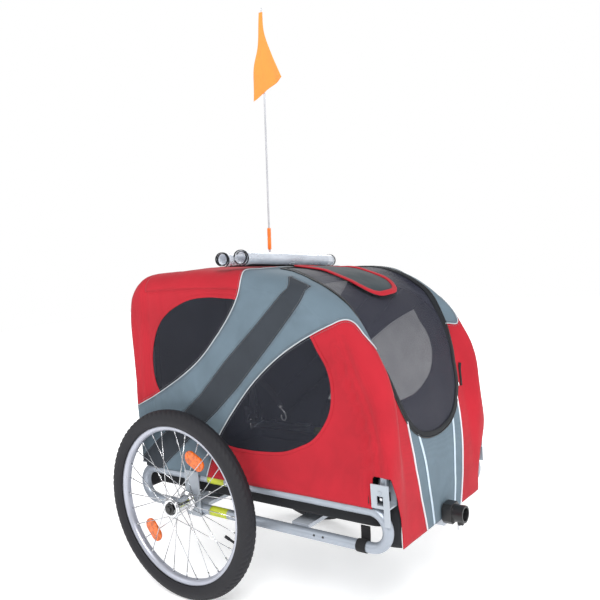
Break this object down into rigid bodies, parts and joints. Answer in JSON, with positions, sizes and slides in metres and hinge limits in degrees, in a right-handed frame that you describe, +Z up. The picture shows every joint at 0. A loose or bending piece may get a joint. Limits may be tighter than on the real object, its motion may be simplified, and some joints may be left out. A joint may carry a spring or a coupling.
{
  "type": "pet bicycle trailer",
  "caption": "Two-wheel bicycle trailer with a folding hooped fabric cabin, mesh windows and door, quick-release spoked wheels, hitch receiver and safety flag.",
  "frame": {"origin": "middle of the ground footprint, on the ground plane: halfway between the rearmost point of the tyres and the front face of the hitch receiver, on the centre plane", "axes": "+X forwards towards the bicycle, +Y to the trailer's left, +Z up; the wheel axle lies at x = -0.205 m, z = 0.25 m"},
  "size_m": [0.91, 0.671, 1.6288],
  "materials": {
    "aluminium": "satin",
    "black_plastic": "matt",
    "black_fabric": "woven",
    "mesh_fabric": "fine mesh",
    "red_fabric": "woven",
    "grey_fabric": "woven",
    "tyre_rubber": "matt",
    "steel": "polished",
    "orange_plastic": "gloss",
    "orange_fabric": "thin woven",
    "white_plastic": "gloss",
    "clear_sheet": "clear film"
  },
  "bodies": {
    "frame": {"side_loop_right": "aluminium", "side_loop_left": "aluminium", "axle_bracket_right": "aluminium", "axle_bracket_left": "aluminium", "front_cross_bar": "aluminium", "axle_cross_bar": "aluminium", "drawbar": "aluminium", "floor_tray": "black_fabric", "floor_board": "black_plastic", "hitch_receiver": "black_plastic", "front_hoop_bracket_right": "aluminium", "front_hoop_bracket_left": "aluminium", "rear_hoop_bracket_right": "aluminium", "rear_hoop_bracket_left": "aluminium", "flag_socket": "black_plastic", "rear_panel": "red_fabric", "front_panel": "grey_fabric", "side_panel_right": "red_fabric", "side_panel_left": "red_fabric", "front_window_right": "mesh_fabric", "front_window_left": "mesh_fabric", "rear_window_right": "mesh_fabric", "rear_window_left": "mesh_fabric"},
    "roof": {"roof_panel": "red_fabric", "front_rain_roll": "clear_sheet", "rear_rain_roll": "clear_sheet"},
    "front_hoop": {"front_hoop": "aluminium"},
    "rear_hoop": {"rear_hoop": "aluminium"},
    "front_door": {"front_door": "mesh_fabric"},
    "roof_flap": {"roof_flap": "black_fabric"},
    "rear_door": {"rear_door": "black_fabric"},
    "zip_pull": {"zip_pull": "steel"},
    "hitch_pin": {"hitch_pin": "steel"},
    "flag": {"flag_pole": "white_plastic", "flag_ferrule": "orange_plastic", "flag_pennant": "orange_fabric"},
    "front_button_right": {"front_snap_button_right": "steel"},
    "rear_button_right": {"rear_snap_button_right": "steel"},
    "axle_right": {"axle_right": "steel"},
    "release_button_right": {"release_button_right": "black_plastic"},
    "wheel_right": {"tyre_right": "tyre_rubber", "inner_tube_right": "tyre_rubber", "rim_right": "aluminium", "hub_right": "steel", "outer_spokes_right": "steel", "inner_spokes_right": "steel", "upper_reflector_right": "orange_plastic", "lower_reflector_right": "orange_plastic"},
    "front_button_left": {"front_snap_button_left": "steel"},
    "rear_button_left": {"rear_snap_button_left": "steel"},
    "axle_left": {"axle_left": "steel"},
    "release_button_left": {"release_button_left": "black_plastic"},
    "wheel_left": {"tyre_left": "tyre_rubber", "inner_tube_left": "tyre_rubber", "rim_left": "aluminium", "hub_left": "steel", "outer_spokes_left": "steel", "inner_spokes_left": "steel", "upper_reflector_left": "orange_plastic", "lower_reflector_left": "orange_plastic"}
  },
  "joints": [
    {"name": "hoop_fold", "type": "hinge", "parent": "frame", "child": "front_hoop", "pos_m": [0.375, 0, 0.36], "axis": [0, -1, 0], "range_deg": [0, 59], "deforming": ["rear_panel", "roof_panel", "front_panel", "side_panel_right", "side_panel_left", "front_window_right", "front_window_left", "rear_window_right", "rear_window_left", "front_door", "rear_door", "roof_flap", "front_rain_roll", "rear_rain_roll", "zip_pull"]},
    {"name": "rear_hoop_fold", "type": "hinge", "parent": "frame", "child": "rear_hoop", "pos_m": [-0.373, 0, 0.36], "axis": [0, 1, 0], "range_deg": [0, 68]},
    {"name": "roof_drop", "type": "slide", "parent": "frame", "child": "roof", "axis": [0, 0, -1], "range_m": [0, 0.301]},
    {"name": "front_door_lift", "type": "hinge", "parent": "roof", "child": "front_door", "pos_m": [0.047, 0, 0.845], "axis": [0, -1, 0], "range_deg": [0, 70]},
    {"name": "roof_flap_lift", "type": "hinge", "parent": "front_door", "child": "roof_flap", "pos_m": [0.053, 0, 0.847], "axis": [0, -1, 0], "range_deg": [0, 55]},
    {"name": "rear_door_drop", "type": "hinge", "parent": "frame", "child": "rear_door", "pos_m": [-0.397, 0, 0.331], "axis": [0, -1, 0], "range_deg": [0, 130]},
    {"name": "zip_pull_flip", "type": "hinge", "parent": "frame", "child": "zip_pull", "pos_m": [-0.39865, 0.158, 0.331], "axis": [0, 1, 0], "range_deg": [0, 90]},
    {"name": "hitch_pin_pull", "type": "slide", "parent": "frame", "child": "hitch_pin", "axis": [0, 0, -1], "range_m": [0, 0.012], "stiffness_N_per_m": 400, "springref_m": -0.005},
    {"name": "flag_lift", "type": "slide", "parent": "frame", "child": "flag", "axis": [0.0475, 0, 0.9989], "range_m": [0, 0.12]},
    {"name": "front_button_push_right", "type": "slide", "parent": "front_hoop", "child": "front_button_right", "axis": [0, 1, 0], "range_m": [0, 0.0035], "stiffness_N_per_m": 300, "springref_m": -0.002},
    {"name": "rear_button_push_right", "type": "slide", "parent": "rear_hoop", "child": "rear_button_right", "axis": [0, 1, 0], "range_m": [0, 0.0035], "stiffness_N_per_m": 300, "springref_m": -0.002},
    {"name": "axle_pull_right", "type": "slide", "parent": "frame", "child": "axle_right", "axis": [0, -1, 0], "range_m": [0, 0.1]},
    {"name": "wheel_spin_right", "type": "hinge", "parent": "axle_right", "child": "wheel_right", "pos_m": [-0.205, -0.294, 0.25], "axis": [0, 1, 0], "continuous": true},
    {"name": "release_button_push_right", "type": "slide", "parent": "axle_right", "child": "release_button_right", "axis": [0, 1, 0], "range_m": [0, 0.0025], "stiffness_N_per_m": 300, "springref_m": -0.002},
    {"name": "front_button_push_left", "type": "slide", "parent": "front_hoop", "child": "front_button_left", "axis": [0, -1, 0], "range_m": [0, 0.0035], "stiffness_N_per_m": 300, "springref_m": -0.002},
    {"name": "rear_button_push_left", "type": "slide", "parent": "rear_hoop", "child": "rear_button_left", "axis": [0, -1, 0], "range_m": [0, 0.0035], "stiffness_N_per_m": 300, "springref_m": -0.002},
    {"name": "axle_pull_left", "type": "slide", "parent": "frame", "child": "axle_left", "axis": [0, 1, 0], "range_m": [0, 0.1]},
    {"name": "wheel_spin_left", "type": "hinge", "parent": "axle_left", "child": "wheel_left", "pos_m": [-0.205, 0.294, 0.25], "axis": [0, 1, 0], "continuous": true},
    {"name": "release_button_push_left", "type": "slide", "parent": "axle_left", "child": "release_button_left", "axis": [0, -1, 0], "range_m": [0, 0.0025], "stiffness_N_per_m": 300, "springref_m": -0.002}
  ],
  "couplings": [
    {"joint": "rear_hoop_fold", "follows": "hoop_fold", "ratio": 1.1525},
    {"joint": "roof_drop", "follows": "hoop_fold", "m_per_rad": 0.29201}
  ]
}
